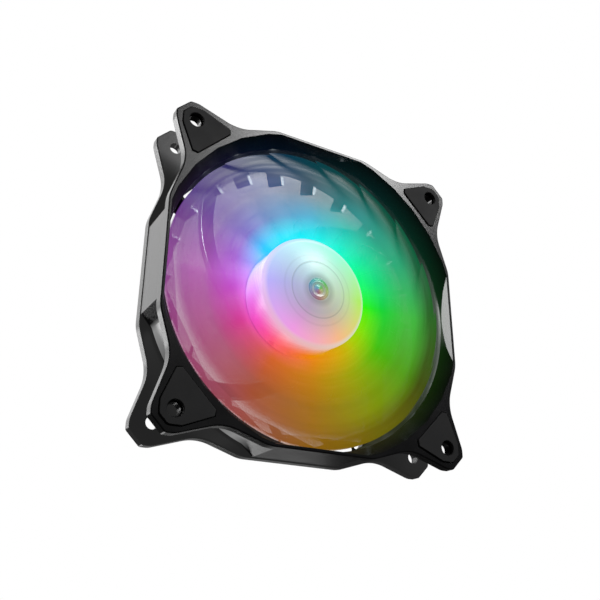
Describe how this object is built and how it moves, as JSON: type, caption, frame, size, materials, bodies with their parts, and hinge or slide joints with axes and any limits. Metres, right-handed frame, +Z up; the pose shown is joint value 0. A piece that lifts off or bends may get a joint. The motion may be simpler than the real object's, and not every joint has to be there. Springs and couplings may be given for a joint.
{
  "type": "computer case fan",
  "caption": "Square axial cooling fan for a computer case, with a lit translucent impeller, swept struts and rubber corner pads.",
  "frame": {"origin": "on the spin axis, halfway through the fan's depth, which is the centre of its box", "axes": "+X right as seen from the intake side, +Y back, the way the air goes, +Z up"},
  "size_m": [0.12, 0.025, 0.12],
  "materials": {
    "frame_plastic": "black, satin, lightly eroded mould texture",
    "pad_rubber": "black, matt",
    "impeller_plastic": "frosted translucent white",
    "badge_foil": "silvery foil with plain rings",
    "yoke_steel": "drawn steel",
    "magnet_ferrite": "dark bonded ferrite",
    "shaft_steel": "ground and polished",
    "clip_plastic": "natural white",
    "tube_brass": "turned",
    "sleeve_bronze": "sintered, oily",
    "seal_rubber": "black",
    "thrust_nylon": "natural white",
    "stator_steel": "stacked laminations",
    "insulator_nylon": "natural white",
    "coil_copper": "enamelled copper winding",
    "board_laminate": "green solder mask",
    "light_epoxy": "clear epoxy light package",
    "chip_epoxy": "black moulding",
    "capacitor_ceramic": "tan ceramic",
    "header_nylon": "off-white nylon",
    "label_film": "blank grey film"
  },
  "bodies": {
    "housing": {"frame": "frame_plastic", "pad_front_1": "pad_rubber", "pad_front_2": "pad_rubber", "pad_front_3": "pad_rubber", "pad_front_4": "pad_rubber", "pad_rear_1": "pad_rubber", "pad_rear_2": "pad_rubber", "pad_rear_3": "pad_rubber", "pad_rear_4": "pad_rubber", "bearing_tube": "tube_brass", "bearing_sleeve": "sleeve_bronze", "oil_seal": "seal_rubber", "thrust_pad": "thrust_nylon", "stator_core": "stator_steel", "insulator_front": "insulator_nylon", "insulator_rear": "insulator_nylon", "coil_1": "coil_copper", "coil_2": "coil_copper", "coil_3": "coil_copper", "coil_4": "coil_copper", "circuit_board": "board_laminate", "light_1": "light_epoxy", "light_2": "light_epoxy", "light_3": "light_epoxy", "light_4": "light_epoxy", "light_5": "light_epoxy", "light_6": "light_epoxy", "driver_chip": "chip_epoxy", "position_sensor": "chip_epoxy", "capacitor": "capacitor_ceramic", "wire_header": "header_nylon", "rear_label": "label_film"},
    "rotor": {"impeller": "impeller_plastic", "hub_badge": "badge_foil", "rotor_yoke": "yoke_steel", "ring_magnet": "magnet_ferrite", "shaft": "shaft_steel", "shaft_clip": "clip_plastic"}
  },
  "joints": [
    {"name": "rotor_spin", "type": "hinge", "parent": "housing", "child": "rotor", "pos_m": [0, 0, 0], "axis": [0, -1, 0], "continuous": true}
  ]
}
